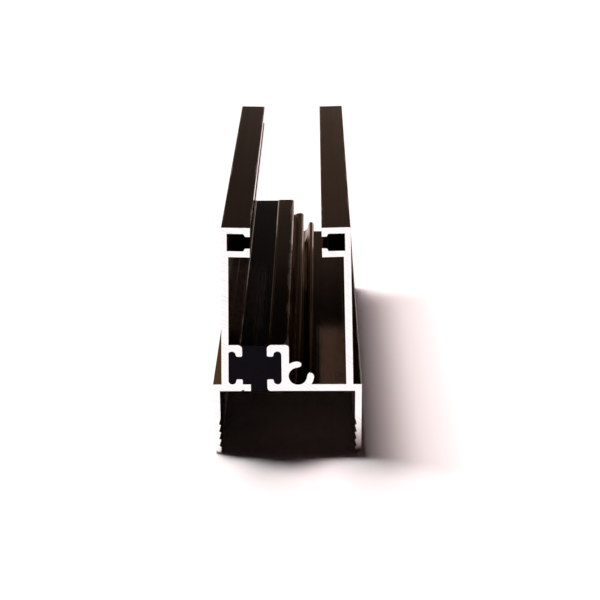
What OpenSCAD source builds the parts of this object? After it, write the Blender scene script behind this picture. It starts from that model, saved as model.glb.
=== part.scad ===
// Thermally broken aluminium window frame profile, a short sawn length of it.
// Two extruded shells face each other across a cast polymer core, which is all that joins them.
// The section lies in X and Z, the profile runs along Y, and the legs stand on Z = 0.

/* [Stock] */
// Length of the sawn piece
length = 125; // [60:1:400]
// Width over the two legs
body_w = 40; // [38:0.5:50]

/* [Web and legs] */
// Height of the legs below the web
leg_h = 18.7; // [14:0.1:30]
// Thickness of a leg
leg_t = 1.8; // [1.5:0.1:2.5]
// Thickness of the web
web_t = 2.1; // [1.5:0.1:3]
// Width of the chamfer on a leg's outer foot
foot_chamfer_w = 1.1; // [0.4:0.1:1.2]
// Height of the chamfer on a leg's outer foot
foot_chamfer_h = 1.5; // [0.4:0.1:2]
// Radius on the inner edge of a leg's foot
foot_r = 0.35; // [0.1:0.05:0.6]
// Number of gripping teeth inside each leg
tooth_count = 4; // [1:1:5]
// Distance from tooth to tooth
tooth_pitch = 2.2; // [1.6:0.1:2.6]
// Depth of the teeth
tooth_depth = 0.45; // [0.2:0.05:0.7]
// Height of the lowest tooth root above the foot
tooth_start = 2.25; // [1.6:0.05:3]

/* [Side walls] */
// Width over the two side walls at their foot
wall_span = 35.4; // [34.5:0.1:37]
// Height of a side wall above the web
wall_h = 44.5; // [30:0.5:70]
// Thickness of a side wall
wall_t = 1.9; // [1.4:0.1:2.5]
// Inward lean of each side wall, in degrees
wall_lean = 1.3; // [0:0.1:2]

/* [Gasket slots] */
// Reach of a slot's flanges from the outer face of the wall
slot_reach = 7.5; // [6:0.1:9]
// Thickness of a slot's flanges
flange_t = 1.75; // [1.2:0.05:2.2]
// Clear height inside a slot
slot_h = 4.65; // [4:0.05:6]
// Clear height between a slot's lips
throat_h = 3.1; // [2.4:0.1:3.6]
// Thickness of the wall behind a slot
slot_wall_t = 1.5; // [1:0.1:1.8]
// Thickness of a lip at its tip
lip_t = 1.3; // [0.8:0.1:1.8]
// Extra thickness of a lip at its root
lip_flare = 0.45; // [0:0.05:0.8]

/* [Core pocket] */
// Clear width of the pocket that holds the core
pocket_w = 14.25; // [12.5:0.05:16]
// Clear height of the pocket, from the web to the hooks
pocket_h = 9.5; // [7:0.1:14]
// Thickness of the pocket's own wall
pocket_wall_t = 2.05; // [1.4:0.05:2.6]
// Thickness of the hooks' arms
hook_t = 2; // [1.4:0.1:2.6]
// Radius on the outer corner of the hook that stands on the pocket's wall
hook_r = 0.9; // [0.5:0.1:1.3]
// Radius on the hooks' upper corners beside the core
nose_r = 1.2; // [0.6:0.1:1.3]
// Width of the lugs that lock the core
lug_w = 1.75; // [1.2:0.05:2.2]
// Height of the lugs
lug_h = 1.5; // [1.2:0.1:2]
// Radius on the corners of the lugs' ends
lug_r = 0.45; // [0.2:0.05:0.55]
// Width of the round recess behind each lug
recess_w = 2.1; // [1.6:0.1:2.6]
// Length of the web's tongue past its lug
tongue_l = 2.15; // [0.8:0.05:2.8]
// Radius on the lower edge of the web across from the tongue
web_edge_r = 1; // [0.3:0.1:1.4]
// Width of the scribe line under the tongue's root
scribe_w = 0.5; // [0.2:0.1:0.8]
// Depth of the core's top below the hooks' top
core_drop = 0.3; // [0:0.05:1]

/* [Screw port] */
// Diameter of the screw port
port_d = 4.9; // [4:0.1:5.6]
// Wall thickness of the screw port
port_t = 1.9; // [1.4:0.1:2.2]
// Depth of the port's bite into the web and the pocket's wall
port_bite = 0.12; // [0.02:0.02:0.3]
// Width of the flats beside the port's round tips
port_tip_flat = 0.1; // [0.05:0.05:0.4]
// Angle at which the port's arm ends
port_arm_deg = 88; // [84:1:110]
// Angle at which the port's lip ends
port_lip_deg = 3; // [-10:1:6]

/* [Hidden] */
$fn = 64;
bronze = "#2f2621";
polymer = "#1b1b1d";
web_top = leg_h + web_t;
hook_top = web_top + pocket_h + hook_t;
pocket_left = wall_t - wall_span / 2;
pocket_right = pocket_left + pocket_w;
lug_reach = recess_w + lug_w;
tongue_end = pocket_left + lug_reach + tongue_l;
web_start = pocket_right - lug_reach;
wall_root = web_t / 2;
overcut = 1;
port_r = port_d / 2;
port_x = pocket_right + pocket_wall_t + port_r - port_bite;
port_z = web_top + port_r - port_bite;

// What rounds off a corner at the origin, where the solid lies below and to the left of it
module corner_cut(r) {
    translate([-r, -r]) difference() {
        square(r + overcut);
        circle(r = r);
    }
}

// Clear space of a gasket slot, the wall's outer face on X = 0, the slot's floor on Y = 0
module slot_space() {
    lip_x = slot_reach - lip_t;
    lip_h = (slot_h - throat_h) / 2;
    past_end = slot_reach + overcut;
    polygon([
        [slot_wall_t, 0],
        [lip_x - lip_flare, 0],
        [lip_x, lip_h],
        [past_end, lip_h],
        [past_end, slot_h - lip_h],
        [lip_x, slot_h - lip_h],
        [lip_x - lip_flare, slot_h],
        [slot_wall_t, slot_h],
    ]);
}

// Leaning side wall, outer face on X = 0, foot on Y = 0, with the gasket slot at its top
module side_wall() {
    head_h = slot_h + 2 * flange_t;
    rotate(-wall_lean) difference() {
        union() {
            translate([0, -wall_root]) square([wall_t, wall_h + wall_root]);
            translate([0, wall_h - head_h]) square([slot_reach, head_h]);
        }
        translate([0, wall_h - flange_t - slot_h]) slot_space();
    }
}

// Lug with a rounded end, and the round recess between it and the wall on X = 0
module lug() {
    difference() {
        translate([recess_w, 0]) square([lug_w, lug_h]);
        translate([recess_w, lug_h]) mirror([1, 0]) corner_cut(lug_r);
        translate([lug_reach, lug_h]) corner_cut(lug_r);
    }
    difference() {
        square([recess_w, recess_w / 2]);
        translate([recess_w / 2, recess_w / 2]) circle(d = recess_w);
    }
}

// Hook at the top of the pocket, its arm reaching from the wall on X = 0, its top on Y = 0
module hook() {
    difference() {
        translate([-wall_t / 2, -hook_t]) square([lug_reach + wall_t / 2, hook_t]);
        translate([lug_reach, 0]) corner_cut(nose_r);
    }
    translate([0, -hook_t]) mirror([0, 1]) lug();
}

// Leg below the web's end, outer face on X = 0, foot on Y = 0, teeth on its inner face
module leg() {
    tooth_flank = tooth_pitch - tooth_depth;
    difference() {
        square([leg_t, leg_h + wall_root]);
        polygon([
            [-overcut, -overcut],
            [foot_chamfer_w, -overcut],
            [foot_chamfer_w, 0],
            [0, foot_chamfer_h],
            [-overcut, foot_chamfer_h],
        ]);
        for (i = [0 : tooth_count - 1])
            translate([leg_t, tooth_start + i * tooth_pitch])
                polygon([[0, -tooth_depth / 2], [-tooth_depth, 0], [0, tooth_flank]]);
        translate([leg_t, 0]) mirror([0, 1]) corner_cut(foot_r);
    }
}

// Wall of the screw port as a filled sector, from the tip of its arm round to the tip of its lip
module port_wall() {
    wall_r = port_r + port_t;
    end_deg = 360 + port_lip_deg;
    steps = 6;
    step_deg = (end_deg - port_arm_deg) / steps;
    angles = [for (i = [0 : steps]) port_arm_deg + i * step_deg];
    intersection() {
        circle(r = wall_r);
        polygon([[0, 0], for (a = angles) 2 * wall_r * [cos(a), sin(a)]]);
    }
    for (a = [port_arm_deg, end_deg])
        translate((port_r + port_t / 2) * [cos(a), sin(a)]) circle(d = port_t - 2 * port_tip_flat);
}

// Section of the shell on the side of the tongue
module outer_outline() {
    translate([-wall_span / 2, web_top]) side_wall();
    translate([pocket_left, hook_top]) hook();
    translate([-body_w / 2, leg_h]) square([tongue_end + body_w / 2, web_t]);
    translate([pocket_left, web_top]) lug();
    translate([-body_w / 2, 0]) leg();
}

// Section of the shell on the side of the screw port, before the port is opened
module inner_outline() {
    translate([wall_span / 2, web_top]) mirror([1, 0]) side_wall();
    difference() {
        translate([web_start, leg_h]) square([body_w / 2 - web_start, web_t]);
        translate([web_start, leg_h]) rotate(180) corner_cut(web_edge_r);
    }
    translate([pocket_right, web_top]) mirror([1, 0]) lug();
    pocket_wall();
    translate([body_w / 2, 0]) mirror([1, 0]) leg();
}

// Upright wall of the pocket with its hook, the outer corner of the hook rounded
module pocket_wall() {
    outer_x = pocket_right + pocket_wall_t;
    difference() {
        union() {
            translate([pocket_right, web_top - wall_root])
                square([pocket_wall_t, hook_top - web_top + wall_root]);
            translate([pocket_right, hook_top]) mirror([1, 0]) hook();
        }
        translate([outer_x, hook_top]) corner_cut(hook_r);
    }
}

// Section of the core: the pocket, its throat and the gap in the web, between the two shells
module core_outline() {
    core_left = pocket_left - wall_t / 2;
    core_right = pocket_right + pocket_wall_t / 2;
    difference() {
        translate([core_left, leg_h]) square([core_right - core_left, hook_top - core_drop - leg_h]);
        outer_outline();
        inner_outline();
    }
}

// V-shaped line under the root of the web's tongue, the web's lower face on Y = 0
module scribe_line() {
    rotate(45) square(scribe_w / sqrt(2), center = true);
}

// A section in X and Z drawn out along the profile's length
module extruded() {
    rotate([90, 0, 0]) linear_extrude(height = length, center = true) children();
}

module outer_shell() {
    color(bronze) extruded() difference() {
        outer_outline();
        translate([pocket_left + lug_reach, leg_h]) scribe_line();
    }
}

module inner_shell() {
    color(bronze) extruded() difference() {
        union() {
            inner_outline();
            intersection() {
                translate([port_x, port_z]) port_wall();
                translate([pocket_right + pocket_wall_t / 2, leg_h + web_t / 2]) square(4 * port_d);
            }
        }
        translate([port_x, port_z]) circle(r = port_r);
    }
}

module thermal_break() {
    color(polymer) extruded() core_outline();
}

outer_shell();
inner_shell();
thermal_break();
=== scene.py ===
# %% [markdown]
# # A sawn length of window frame profile
# The object is a short length of a thermally broken window frame profile. Two dark bronze aluminium
# shells, drawn through a die, face each other across a black polymer core, and a saw has cut both ends
# so that bare metal shows. The solids were drawn elsewhere at their real size, so this lesson adds the
# looks only: a camera, a floor, light, softly broken edges and the finish of every face.

import math

import bpy
from mathutils import Matrix, Vector


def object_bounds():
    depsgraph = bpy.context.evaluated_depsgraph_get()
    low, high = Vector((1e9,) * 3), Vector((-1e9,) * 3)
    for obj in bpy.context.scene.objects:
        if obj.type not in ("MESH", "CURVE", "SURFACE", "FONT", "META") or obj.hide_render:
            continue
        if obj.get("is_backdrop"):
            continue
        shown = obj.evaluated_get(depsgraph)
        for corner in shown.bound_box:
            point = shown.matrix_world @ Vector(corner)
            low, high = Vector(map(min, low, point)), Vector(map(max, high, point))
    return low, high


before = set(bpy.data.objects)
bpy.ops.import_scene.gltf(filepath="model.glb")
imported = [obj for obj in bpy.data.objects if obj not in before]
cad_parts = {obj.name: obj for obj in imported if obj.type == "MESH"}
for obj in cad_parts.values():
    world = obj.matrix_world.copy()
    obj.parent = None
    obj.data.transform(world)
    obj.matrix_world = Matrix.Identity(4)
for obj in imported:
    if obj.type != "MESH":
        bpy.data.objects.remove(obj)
cad_low, cad_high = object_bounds()
to_mm = 1000.0
print("pieces:", sorted(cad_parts))
print("box in mm:", [round(to_mm * side, 1) for side in cad_high - cad_low])

# %% [markdown]
# ## The camera
# The photographer stood in front of one sawn end and looked down on it by about 22 degrees. A camera
# can be aimed with a constraint or by hand. Here its three axes are worked out from how far it is
# pitched down, turned and rolled, because these angles can be read from the picture's own edges.

# %% Place the camera
camera_place = Vector((0.00740, -0.42139, 0.18872))
pitch_down = math.radians(21.811)
turn = math.radians(-0.615)
roll = math.radians(-0.421)
sensor_width = 36.0
lens_length = 88.44


def aim(pitch, yaw, roll_angle):
    """The camera's axes as a matrix: right, up and backwards."""
    forward = Vector((
        math.sin(yaw) * math.cos(pitch),
        math.cos(yaw) * math.cos(pitch),
        -math.sin(pitch),
    ))
    right = forward.cross(Vector((0, 0, 1))).normalized()
    up = right.cross(forward)
    rolled_right = math.cos(roll_angle) * right + math.sin(roll_angle) * up
    rolled_up = math.cos(roll_angle) * up - math.sin(roll_angle) * right
    return Matrix((rolled_right, rolled_up, -forward)).transposed().to_4x4()


lens = bpy.data.cameras.new("camera")
lens.sensor_width = sensor_width
lens.lens = lens_length
camera = bpy.data.objects.new("camera", lens)
camera.matrix_world = Matrix.Translation(camera_place) @ aim(pitch_down, turn, roll)
bpy.context.scene.collection.objects.link(camera)
bpy.context.scene.camera = camera
print("camera", round(to_mm * camera_place.length), "mm from the origin, lens", lens_length, "mm")

# %% [markdown]
# ## Shader sums as plain expressions
# A material is a tree of nodes, and most of them only add or multiply. Adding each node by hand hides
# the sum that it stands for. So one small class wraps an output socket and lets Python's own operators
# add the Math nodes, and one method adds any other kind of node. Colours go through a Mix node, because
# a Math node would turn them grey.

# %% Wrap a socket
class Wire:
    """An output socket of a node tree, used like a number."""

    def __init__(self, tree, socket=None):
        self.tree = tree
        self.socket = socket

    def node(self, kind, settings=None, sockets=None, output=0):
        """Add a node, set it up, fill or link its sockets and return one of its outputs."""
        made = self.tree.nodes.new("ShaderNode" + kind)
        for name, value in (settings or {}).items():
            if name == "stops":
                for stop in value[len(made.color_ramp.elements):]:
                    made.color_ramp.elements.new(stop[0])
                for element, (position, shade) in zip(made.color_ramp.elements, value):
                    element.position = position
                    element.color = (*shade, 1)
            else:
                setattr(made, name, value)
        for name, value in (sockets or {}).items():
            if isinstance(value, Wire):
                self.tree.links.new(value.socket, made.inputs[name])
            else:
                made.inputs[name].default_value = value
        return Wire(self.tree, made.outputs[output] if made.outputs else None)

    def math(self, operation, *terms):
        return self.node("Math", {"operation": operation}, dict(enumerate(terms)))

    def __add__(self, other):
        return self.math("ADD", self, other)

    def __sub__(self, other):
        return self.math("SUBTRACT", self, other)

    def __rsub__(self, other):
        return self.math("SUBTRACT", other, self)

    def __mul__(self, other):
        return self.math("MULTIPLY", self, other)

    def __gt__(self, other):
        return self.math("GREATER_THAN", self, other)

    __radd__ = __add__
    __rmul__ = __mul__


def new_material(name):
    """An empty node material, and the wire that its nodes start from."""
    material = bpy.data.materials.new(name)
    material.use_nodes = True
    material.node_tree.nodes.clear()
    return material, Wire(material.node_tree)


def mix_colours(start, share, first, second):
    """The first colour where share is 0, the second where it is 1. Either may be a wire."""
    first, second = (
        colour if isinstance(colour, Wire) else (*colour, 1) for colour in (first, second)
    )
    return start.node("Mix", {"data_type": "RGBA"}, {0: share, 6: first, 7: second}, output=2)


print("expression nodes ready")

# %% [markdown]
# ## The floor
# The profile stands on a white sheet that fills the picture. A plane does, if it reaches far past the
# view, and white paper needs hardly more than a bright diffuse colour. A little fibre noise keeps it
# from being perfectly even.

# %% Lay the floor
floor_half = 12.0
paper_white = (0.985, 0.965, 0.965)
paper_shade = (0.975, 0.945, 0.945)
fibres_per_metre = 40.0
fibre_detail = 3.0


def floor_material():
    material, start = new_material("paper")
    place = start.node("TexCoord", output="Object")
    fibre = start.node(
        "TexNoise", None, {"Vector": place, "Scale": fibres_per_metre, "Detail": fibre_detail}
    )
    tone = mix_colours(start, fibre, paper_shade, paper_white)
    paper = start.node("BsdfDiffuse", None, {"Color": tone})
    start.node("OutputMaterial", None, {"Surface": paper})
    return material


floor_mesh = bpy.data.meshes.new("floor")
corners = [(x * floor_half, y * floor_half, 0) for x, y in ((-1, -1), (1, -1), (1, 1), (-1, 1))]
floor_mesh.from_pydata(corners, [], [(0, 1, 2, 3)])
floor = bpy.data.objects.new("floor", floor_mesh)
floor.data.materials.append(floor_material())
bpy.context.scene.collection.objects.link(floor)
floor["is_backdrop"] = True
print("floor", 2 * floor_half, "m wide")

# %% [markdown]
# ## The light
# The shadow tells where the light was: it lies close to the right and just in front, so the light hung
# almost overhead, a little to the left and behind. Its edge is softer to the right than in front, so the
# light reached farther sideways than back, and it is pinker near the object than at its rim, so the part
# of the light nearest overhead was the warmer one. A sun lamp has a round disc only, so two elliptic area
# lamps do it, a warm one, and a white, wider one farther left. They hang so high that the floor is evenly
# lit. Each row gives a lamp's lean from straight up and its reach, sideways and back, as shares of its
# height, and then its power and its tint.

# %% Hang the lamps
lamp_height = 16.0
lamps = [
    ("warm_softbox", (-0.175, 0.245), (0.145, 0.155), 2050, (1.0, 0.85, 0.85)),
    ("white_softbox", (-0.345, 0.175), (0.195, 0.08), 1750, (0.975, 0.975, 0.975)),
]

for lamp_name, lean, reach, watts, lamp_tint in lamps:
    softbox = bpy.data.lights.new(lamp_name, "AREA")
    softbox.shape = "ELLIPSE"
    softbox.size = 2 * reach[0] * lamp_height
    softbox.size_y = 2 * reach[1] * lamp_height
    softbox.energy = watts
    softbox.color = lamp_tint
    lamp = bpy.data.objects.new(lamp_name, softbox)
    lamp.location = lamp_height * Vector((*lean, 1))
    bpy.context.scene.collection.objects.link(lamp)
    print(lamp_name, round(softbox.size, 1), "by", round(softbox.size_y, 1), "m,", lamp_height, "m up")

# %% [markdown]
# ## The room
# The glossy faces show the rest of the room: a white sheet that curves up behind and fades into the dark.
# Walls could be built, but two ramps over the height of the view, one for the back and one for the front,
# give sheet and room alike. What the camera and the mirrors see stays white. What lights the floor in the
# shadow comes from behind, and is dimmer and pinker, because warm things have thrown it back first.

# %% Light the room
room_glow = (0.010, 0.008, 0.008)
ceiling_glow = (0.040, 0.034, 0.033)
sheet_white = (1.0, 0.99, 0.99)
sheet_top = 0.365
sheet_behind = [
    (0.14, sheet_white),
    (0.20, (0.40, 0.345, 0.325)),
    (0.24, (0.16, 0.125, 0.108)),
    (0.28, (0.125, 0.094, 0.080)),
    (0.335, (0.118, 0.089, 0.075)),
    (sheet_top, room_glow),
    (0.45, room_glow),
    (0.65, ceiling_glow),
]
sheet_in_front = [
    (0.03, sheet_white),
    (0.08, (0.10, 0.085, 0.08)),
    (0.20, (0.040, 0.033, 0.031)),
    (0.35, room_glow),
]
front_until = -0.2
back_from = 0.5
fill_tint = (0.72, 0.45, 0.45)

world = bpy.data.worlds.new("studio")
bpy.context.scene.world = world
world.use_nodes = True
world.node_tree.nodes.clear()
air = Wire(world.node_tree)
direction = air.node("TexCoord", output="Generated")
back = air.node("SeparateXYZ", None, {"Vector": direction}, output="Y")
rise = air.node("SeparateXYZ", None, {"Vector": direction}, output="Z")
behind = air.node(
    "MapRange",
    {"interpolation_type": "SMOOTHSTEP"},
    {"Value": back, "From Min": front_until, "From Max": back_from},
)
back_glow = air.node("ValToRGB", {"stops": sheet_behind}, {"Fac": rise})
front_glow = air.node("ValToRGB", {"stops": sheet_in_front}, {"Fac": rise})
glow = mix_colours(air, behind, front_glow, back_glow)
fill = air.node(
    "Mix",
    {"data_type": "RGBA", "blend_type": "MULTIPLY"},
    {0: 1.0, 6: mix_colours(air, behind, room_glow, back_glow), 7: (*fill_tint, 1)},
    output=2,
)
seen = air.node("LightPath", output="Is Camera Ray")
for mirror_ray in ("Is Glossy Ray", "Is Transmission Ray"):
    seen = air.math("MAXIMUM", seen, air.node("LightPath", output=mirror_ray))
room = air.node("Background", None, {"Color": mix_colours(air, seen, fill, glow), "Strength": 1.0})
air.node("OutputWorld", None, {"Surface": room})
bpy.context.scene.view_settings.view_transform = "Standard"
print("sheet fades out", round(math.degrees(math.asin(sheet_top))), "degrees above the horizon")

# %% [markdown]
# ## Broken edges
# No drawn or sawn edge is perfectly sharp: the die leaves a small radius and a file takes the burr off.
# The edges could be drawn into the section, but a Bevel modifier does it for every edge at once. It wants
# clean faces, so the imported triangles are first welded and joined again where they lie in one plane.
# The core was poured against the metal and sawn flush with it, so its edges stay as they are.

# %% Break the edges
edge_radius = 0.00009
edge_steps = 2
weld_reach = 0.000002
flat_within = math.radians(0.5)
sharp_from = math.radians(34)


def break_edges(piece):
    """Weld, join flat faces and round the sharp edges, all as modifiers."""
    weld = piece.modifiers.new("weld", "WELD")
    weld.merge_threshold = weld_reach
    flatten = piece.modifiers.new("join_flat", "DECIMATE")
    flatten.decimate_type = "DISSOLVE"
    flatten.angle_limit = flat_within
    bevel = piece.modifiers.new("broken_edges", "BEVEL")
    bevel.width = edge_radius
    bevel.segments = edge_steps
    bevel.limit_method = "ANGLE"
    bevel.angle_limit = sharp_from
    bevel.use_clamp_overlap = False
    shade = piece.modifiers.new("even_shading", "WEIGHTED_NORMAL")
    shade.keep_sharp = True


for shell in ("outer_shell", "inner_shell"):
    break_edges(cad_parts[shell])
    print(shell, "edges broken by", round(to_mm * edge_radius, 2), "mm")

# %% [markdown]
# ## The sawn ends
# A saw has cut both ends square, and its teeth have torn small chips out of the coat beside the cut. The
# end faces could be given a material of their own, but the chips lie inside the long faces. So a mask tells
# the cut by its distance from the middle of the length, and noise moves the mask's border for the chips.
# All places are worked out in millimetres, like the section.

# %% Tell the cut from the drawn faces
cut_depth = 0.05
cut_from = to_mm * cad_high.y - cut_depth
chip_width = 0.8
chip_depth = 3.0
chip_rarity = 0.58
chip_slant = 0.02
chip_detail = 0.5


def in_mm(start):
    """The place on the object in millimetres."""
    place = start.node("TexCoord", output="Object")
    return start.node("VectorMath", {"operation": "SCALE"}, {"Vector": place, "Scale": to_mm})


def axis(start, place, name):
    """One of the place's three coordinates."""
    return start.node("SeparateXYZ", None, {"Vector": place}, output=name)


def cut_mask(start, place):
    """1 on the two sawn ends, 0 on the drawn faces."""
    return start.math("ABSOLUTE", axis(start, place, "Y")) > cut_from


def chipped_mask(start, place):
    """The same with small chips, where the saw has torn the coat beside the cut."""
    along = start.math("ABSOLUTE", axis(start, place, "Y"))
    section = start.node("VectorMath", {"operation": "MULTIPLY"}, {0: place, 1: (1, chip_slant, 1)})
    grain = start.node(
        "TexNoise", None, {"Vector": section, "Scale": 1 / chip_width, "Detail": chip_detail}
    )
    chip = chip_depth * start.math("MAXIMUM", grain - chip_rarity, 0.0)
    return along + chip > cut_from


print("cut from", round(cut_from, 2), "mm on both sides of the middle")

# %% [markdown]
# ## Marks of the die and the saw
# Two more marks tell how the piece was made. The die leaves hair lines that run the whole length, and the
# saw leaves shallow arcs on both ends. They could be painted as a picture, but noise does it without one:
# noise that is stretched along the length for the die, and noise over the distance from the saw's axle for
# the arcs.

# %% Draw the lines and the arcs
die_detail = 2.0
saw_detail = 3.0
saw_axle = (-70.0, 0.0, -95.0)


def die_lines(start, place, width, run):
    """Noise from 0 to 1 in lines of this width in mm, each as long as run in mm."""
    stretched = start.node(
        "VectorMath", {"operation": "MULTIPLY"}, {0: place, 1: (1 / width, 1 / run, 1 / width)}
    )
    return start.node("TexNoise", None, {"Vector": stretched, "Scale": 1.0, "Detail": die_detail})


def from_point(start, place, point):
    """How far a place lies from a point of the section, in mm."""
    section = start.node("VectorMath", {"operation": "MULTIPLY"}, {0: place, 1: (1, 0, 1)})
    return start.node("VectorMath", {"operation": "DISTANCE"}, {0: section, 1: point}, output="Value")


def saw_arcs(start, place, width):
    """Noise from 0 to 1 in arcs of this width in mm about the saw's axle."""
    turns = from_point(start, place, saw_axle) * (1 / width)
    return start.node(
        "TexNoise", {"noise_dimensions": "1D"}, {"W": turns, "Scale": 1.0, "Detail": saw_detail}
    )


print("saw axle at", saw_axle, "mm")

# %% [markdown]
# ## Rubbed edges and painted edge highlights
# On a piece that is handled and slid over a bench, the long outer edges lose their coat first, in patches.
# The same lighter colour also goes on the ledges' outer edges, the hooks' rounded noses and the pocket
# wall's rounded corner as painted highlights, which stand in for the bright reflections these edges catch.
# A mask could be painted on the mesh, but the section is the same all along. So it is enough to know how
# far a point lies from each of these corners of the section, and to break the result up with long noise.
# Each row gives a corner's distance from the middle, its height, and how strongly it is lightened.

# %% Rub the edges and paint the edge highlights
side_x = to_mm * cad_high.x
ledge_z = 20.8
worn_and_lit_corners = [
    (16.69, 65.29, 1.0),
    (9.19, 65.12, 1.0),
    (9.38, 56.97, 3.0),
    # painted highlight on the ledges' outer edges, standing in for the bright floor they reflect
    (side_x, ledge_z, 3.0),
    (side_x, 1.5, 1.0),
    # painted highlights on the hooks' noses and the pocket wall's corner, standing in for their reflections
    (12.3, 31.95, 0.7),
    (5.05, 31.95, 0.7),
    (0.24, 32.04, 2.0),
]
wear_highlight_reach = 0.55
wear_highlight_patch_width = 3.0
wear_highlight_patch_run = 14.0
wear_highlight_rarity = 0.42
wear_highlight_contrast = 6.0


def wear_and_highlight_mask(start, place):
    """0 on the faces, up to 1 on rubbed edges and painted edge highlights, alike on both sides of the piece.
    """
    mirrored = start.node("VectorMath", {"operation": "ABSOLUTE"}, {0: place})
    nearness = 0.0
    for corner_x, corner_z, strength in worn_and_lit_corners:
        away = from_point(start, mirrored, (corner_x, 0, corner_z))
        nearness = nearness + strength * start.math("MAXIMUM", 1 - away * (1 / wear_highlight_reach), 0.0)
    patches = die_lines(start, place, wear_highlight_patch_width, wear_highlight_patch_run)
    bared = start.math("MAXIMUM", patches - wear_highlight_rarity, 0.0)
    return start.math("MINIMUM", wear_highlight_contrast * nearness * bared, 1.0)


print("edges rubbed at", len(worn_and_lit_corners), "corners on each side")

# %% [markdown]
# ## The ledges
# Beside the foot of each wall a narrow ledge runs along the piece. Dirt has settled on the outer shell's
# ledge, and both ledges curve down at their outer edge. The dirt could be a piece of its own and the curve
# a wider bevel, but the dirt has no thickness and the curve is under half a millimetre wide. So a mask and
# a slope for the Bump node are enough.

# %% Find the ledges
ledge_inner_x = 17.72
ledge_within = 0.1
ledge_curve = 0.45


def on_ledge(start, place):
    """1 at the ledges' height, 0 above and below."""
    off_level = start.math("ABSOLUTE", axis(start, place, "Z") - ledge_z)
    return 1 - (off_level > ledge_within)


def dirt_mask(start, place):
    """1 on the ledge outside the outer shell's wall, 0 elsewhere."""
    outside = (0 - axis(start, place, "X")) > ledge_inner_x
    return outside * on_ledge(start, place)


def ledge_slope(start, place):
    """How far the ledges' outer edges curve down, in mm: a parabola that ends at 45 degrees."""
    sideways = start.math("ABSOLUTE", axis(start, place, "X"))
    past = start.math("MAXIMUM", sideways - (side_x - ledge_curve), 0.0)
    return past * past * on_ledge(start, place) * (-0.5 / ledge_curve)


print("ledges", round(side_x - ledge_inner_x, 2), "mm wide at a height of", ledge_z, "mm")

# %% [markdown]
# ## Painted shade on the hooks
# The level tops of the two hooks get painted shade: a neutral near-black that stands in for the dark room
# they reflect, and that gives out towards the far end, where they reflect the bright sheet instead. A skin
# of its own could lie on the metal, but the shade has no thickness that shows. So it is a colour on the
# hooks' level tops, broken up by long noise.

# %% Find the painted shade on the hooks
hook_z = 32.3
hook_within = 0.12
hooks_middle = -7.6
hooks_half = 8.2
hook_shade_full_y = 42.0
hook_shade_end_y = 60.0
hook_shade_least = 0.55
hook_shade_patch_width = 1.6
hook_shade_patch_run = 30.0


def hook_shade_mask(start, place):
    """Up to 1 of painted shade on the level tops of the two hooks, fading out towards the far end."""
    off_level = start.math("ABSOLUTE", axis(start, place, "Z") - hook_z)
    off_middle = start.math("ABSOLUTE", axis(start, place, "X") - hooks_middle)
    on_hooks = (1 - (off_level > hook_within)) * (1 - (off_middle > hooks_half))
    patches = die_lines(start, place, hook_shade_patch_width, hook_shade_patch_run)
    fade = start.node(
        "MapRange",
        None,
        {"Value": axis(start, place, "Y"), "From Min": hook_shade_end_y, "From Max": hook_shade_full_y},
    )
    return start.math("MINIMUM", on_hooks * fade * (hook_shade_least + patches), 1.0)


print("film on", 2 * hooks_half, "mm of the section")

# %% [markdown]
# ## The dark bronze coat
# The drawn faces wear a thin dark bronze coat that mirrors its surroundings in brown, as a tinted oxide on
# aluminium does. The die's lines show in it as lighter streaks, some fine and some broad, with smudges
# between them. Rubbed edges with their painted edge highlights, and the painted shade on the hooks, could
# each be a material of their own, but mixed over the coat they keep their soft borders.

# %% Colour the coat
die_line_width = 0.35
die_line_run = 90.0
broad_line_width = 2.1
broad_line_run = 180.0
smudge_width = 22.0
smudge_detail = 3.0
broad_share = 0.40
line_share = 0.35
smudge_share = 0.25
worn_from = 0.37
worn_to = 0.63
# lighter colour of the rubbed edges and of the painted edge highlights
worn_and_highlight_bronze = (0.34, 0.30, 0.28)
# painted shade on the hooks' tops, standing in for the dark room that they reflect
hook_painted_shade = (0.026, 0.024, 0.026)


def smudges(start, place):
    """Broad soft noise from 0 to 1."""
    return start.node(
        "TexNoise", None, {"Vector": place, "Scale": 1 / smudge_width, "Detail": smudge_detail}
    )


def coat_colour(start, place, fresh, worn, lines, smudge, wear_and_highlight):
    """The coat with lighter streaks, smudges, rubbed edges, painted edge highlights and painted hook shade.
    """
    broad = die_lines(start, place, broad_line_width, broad_line_run)
    tone = broad_share * broad + line_share * lines + smudge_share * smudge
    wear = start.node("MapRange", None, {"Value": tone, "From Min": worn_from, "From Max": worn_to})
    streaked = mix_colours(start, wear, fresh, worn)
    worn_and_highlighted = mix_colours(start, wear_and_highlight, streaked, worn_and_highlight_bronze)
    return mix_colours(start, hook_shade_mask(start, place), worn_and_highlighted, hook_painted_shade)


print("streaks", die_line_width, "and", broad_line_width, "mm wide")

# %% [markdown]
# ## The bare sawn metal
# The saw went through coat and metal alike, so both ends are bare and bright, with a darker arc wherever a
# tooth of the blade stood out. Two places differ: the groove that is scribed under the web's tongue keeps
# its coat, and the foot of the inner shell's leg gets painted shade, a pinkish darkening that stands in for
# the shadowed floor which the bright metal reflects there. Both could be drawn by hand, but both follow the
# section, so the distance from the groove and the height above the floor are enough to find them.

# %% Colour the bare metal
saw_line_width = 0.30
arc_dark = 0.28
arc_bright = 0.46
bare_metal = (0.945, 0.965, 0.965)
bare_shade = (0.70, 0.72, 0.73)
# painted shade: a pinkish darkening at the leg's foot, standing in for the reflected shadow on the floor
painted_shade = (0.34, 0.25, 0.26)
painted_shade_top = 10.5
painted_shade_full = 0.5
painted_shade_inner_x = 17.0
groove_place = (-11.95, 0.0, 18.7)
groove_reach = 0.42


def groove_mask(start, place):
    """1 in the scribed groove under the tongue, 0 elsewhere."""
    return 1 - (from_point(start, place, groove_place) > groove_reach)


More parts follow.
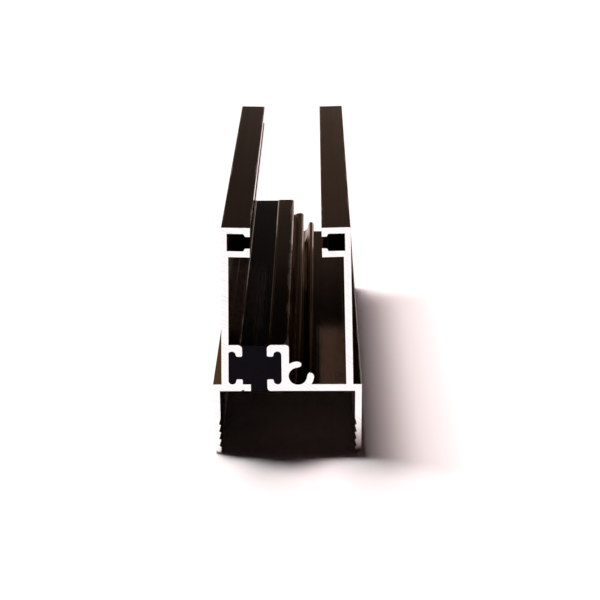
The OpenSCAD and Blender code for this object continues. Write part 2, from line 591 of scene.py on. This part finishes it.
def painted_shade_mask(start, place):
    """0 above, up to 1 of painted shade at the foot of the inner shell's leg."""
    low = start.node(
        "MapRange",
        {"interpolation_type": "SMOOTHSTEP"},
        {"Value": axis(start, place, "Z"), "From Min": painted_shade_top, "From Max": painted_shade_full},
    )
    return low * (axis(start, place, "X") > painted_shade_inner_x)


def bare_colour(start, place, arcs):
    """The bare metal with its saw arcs and the painted shade at the foot of the leg."""
    bright = start.node("MapRange", None, {"Value": arcs, "From Min": arc_dark, "From Max": arc_bright})
    sawn = mix_colours(start, bright, bare_shade, bare_metal)
    return mix_colours(start, painted_shade_mask(start, place), sawn, painted_shade)


print("tarnish below", painted_shade_top, "mm, groove at", groove_place, "mm")

# %% [markdown]
# ## Coat and bare metal in one finish
# The two shells were coated apart, so the inner one is a shade lighter, but otherwise they are alike. Coat,
# dirt and cut could be three materials on different faces, but one material with masks keeps each border
# where the real one is, and one function makes it for both shells. The coat is smooth, and rubbing or dirt
# makes it duller. Each row gives a shell's coat where it is fresh, where it is worn, and seen at a slant.

# %% Finish the shells
shells = [
    ("outer_shell", (0.040, 0.0335, 0.0315), (0.062, 0.0525, 0.049), (0.86, 0.78, 0.72)),
    ("inner_shell", (0.101, 0.080, 0.068), (0.147, 0.117, 0.101), (0.97, 0.87, 0.79)),
]
ledge_dirt = (0.052, 0.029, 0.010)
dirt_cover = 0.9
dirt_gloss = 0.05
noise_middle = 0.5
bronze_roughness = 0.09
line_roughness = 0.10
smudge_roughness = 0.05
wear_highlight_roughness = 0.30
dirt_roughness = 0.45
bare_roughness = 0.12
arc_roughness = 0.08
arc_relief = 2.0
mark_strength = 0.20
mark_depth = 0.00003


def bronze_material(name, fresh, worn, grazing):
    material, start = new_material(name)
    place = in_mm(start)
    cut = chipped_mask(start, place) * (1 - groove_mask(start, place))
    dirt = dirt_mask(start, place) * (1 - cut)
    wear_and_highlight = wear_and_highlight_mask(start, place)
    lines = die_lines(start, place, die_line_width, die_line_run)
    smudge = smudges(start, place)
    arcs = saw_arcs(start, place, saw_line_width)
    clean_coat = coat_colour(start, place, fresh, worn, lines, smudge, wear_and_highlight)
    coat = mix_colours(start, dirt, clean_coat, ledge_dirt)
    grain = line_roughness * (lines - noise_middle) + smudge_roughness * (smudge - noise_middle)
    coat_rough = bronze_roughness + grain + wear_highlight_roughness * wear_and_highlight + dirt_roughness * dirt
    bare_rough = bare_roughness + arc_roughness * (arcs - noise_middle)
    relief = lines + cut * (arc_relief * arcs - lines)
    marks = start.node("Bump", None, {"Strength": mark_strength, "Distance": mark_depth, "Height": relief})
    slope = ledge_slope(start, place) * (1 - cut)
    curved = start.node(
        "Bump", None, {"Strength": 1.0, "Distance": 1 / to_mm, "Height": slope, "Normal": marks}
    )
    surface = start.node(
        "BsdfPrincipled",
        None,
        {
            "Base Color": mix_colours(start, cut, coat, bare_colour(start, place, arcs)),
            "Metallic": 1 - dirt_cover * dirt,
            "Roughness": coat_rough + cut * (bare_rough - coat_rough),
            "Specular IOR Level": dirt_gloss,
            "Specular Tint": (*grazing, 1),
            "Normal": curved,
        },
    )
    start.node("OutputMaterial", None, {"Surface": surface})
    return material


for shell, fresh, worn, grazing in shells:
    finish = bronze_material(shell + "_bronze", fresh, worn, grazing)
    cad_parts[shell].material_slots[0].material = finish
    print(shell, "finished with", len(finish.node_tree.nodes), "nodes")

# %% [markdown]
# ## The polymer core
# The core was poured between the shells as a liquid, so its top is glossy and almost level, and its ends
# were sawn dull together with the metal. A lighter streak along the near half of its top is a painted
# highlight that stands in for a reflection in the gloss. Top and ends could be two materials, but one dark
# plastic with two roughnesses covers both, with the saw's arcs on the ends. The core has no coat to chip,
# so its border is the plain mask of the cut.

# %% Mix the polymer
polymer = (0.0040, 0.0030, 0.0038)
polymer_sawn = (0.0046, 0.0042, 0.0086)
polymer_smear = (0.0085, 0.0077, 0.0115)
# painted highlight: the lighter streak on the core's top, standing in for a reflection in its gloss
polymer_painted_highlight = (0.040, 0.038, 0.043)
smears_per_mm = 0.35
smear_detail = 3.0
ripple_width = 2.5
ripple_run = 30.0
streak_x = -8.2
streak_half = 1.1
streak_full_y = -8.0
streak_end_y = -2.0
streak_least = 0.5
top_roughness = 0.14
sawn_roughness = 0.6
polymer_gloss = 0.035
ripple_strength = 0.15
ripple_depth = 0.00005


def painted_streak_mask(start, place, ripples):
    """Up to 1 along the painted highlight streak on the near half of the core's top."""
    off_streak = start.math("ABSOLUTE", axis(start, place, "X") - streak_x) * (1 / streak_half)
    fade = start.node(
        "MapRange",
        None,
        {"Value": axis(start, place, "Y"), "From Min": streak_end_y, "From Max": streak_full_y},
    )
    return start.math("MAXIMUM", 1 - off_streak, 0.0) * fade * (streak_least + ripples)


def polymer_material():
    material, start = new_material("core_polymer")
    place = in_mm(start)
    cut = cut_mask(start, place)
    arcs = saw_arcs(start, place, saw_line_width)
    ripples = die_lines(start, place, ripple_width, ripple_run)
    smear = start.node(
        "TexNoise", None, {"Vector": place, "Scale": smears_per_mm, "Detail": smear_detail}
    )
    sawn = mix_colours(start, smear, polymer_sawn, polymer_smear)
    poured = mix_colours(start, painted_streak_mask(start, place, ripples), polymer, polymer_painted_highlight)
    relief = ripples + cut * (arcs - ripples)
    surface = start.node(
        "BsdfPrincipled",
        None,
        {
            "Base Color": mix_colours(start, cut, poured, sawn),
            "Roughness": top_roughness + cut * (sawn_roughness - top_roughness),
            "Specular IOR Level": polymer_gloss,
            "Normal": start.node(
                "Bump", None, {"Strength": ripple_strength, "Distance": ripple_depth, "Height": relief}
            ),
        },
    )
    start.node("OutputMaterial", None, {"Surface": surface})
    return material


core_finish = polymer_material()
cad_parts["thermal_break"].material_slots[0].material = core_finish
print("core finished with", len(core_finish.node_tree.nodes), "nodes")

# %% [markdown]
# ## How much the size grew
# Breaking the edges takes a little away and adds nothing, so the finished piece has to fit the box that
# was measured first. How much each side of the box grew is printed.

# %% Print the growth and finish
visual_low, visual_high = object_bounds()
growth = (visual_high - visual_low) - (cad_high - cad_low)
print("grown by mm:", [round(to_mm * side, 3) for side in growth])
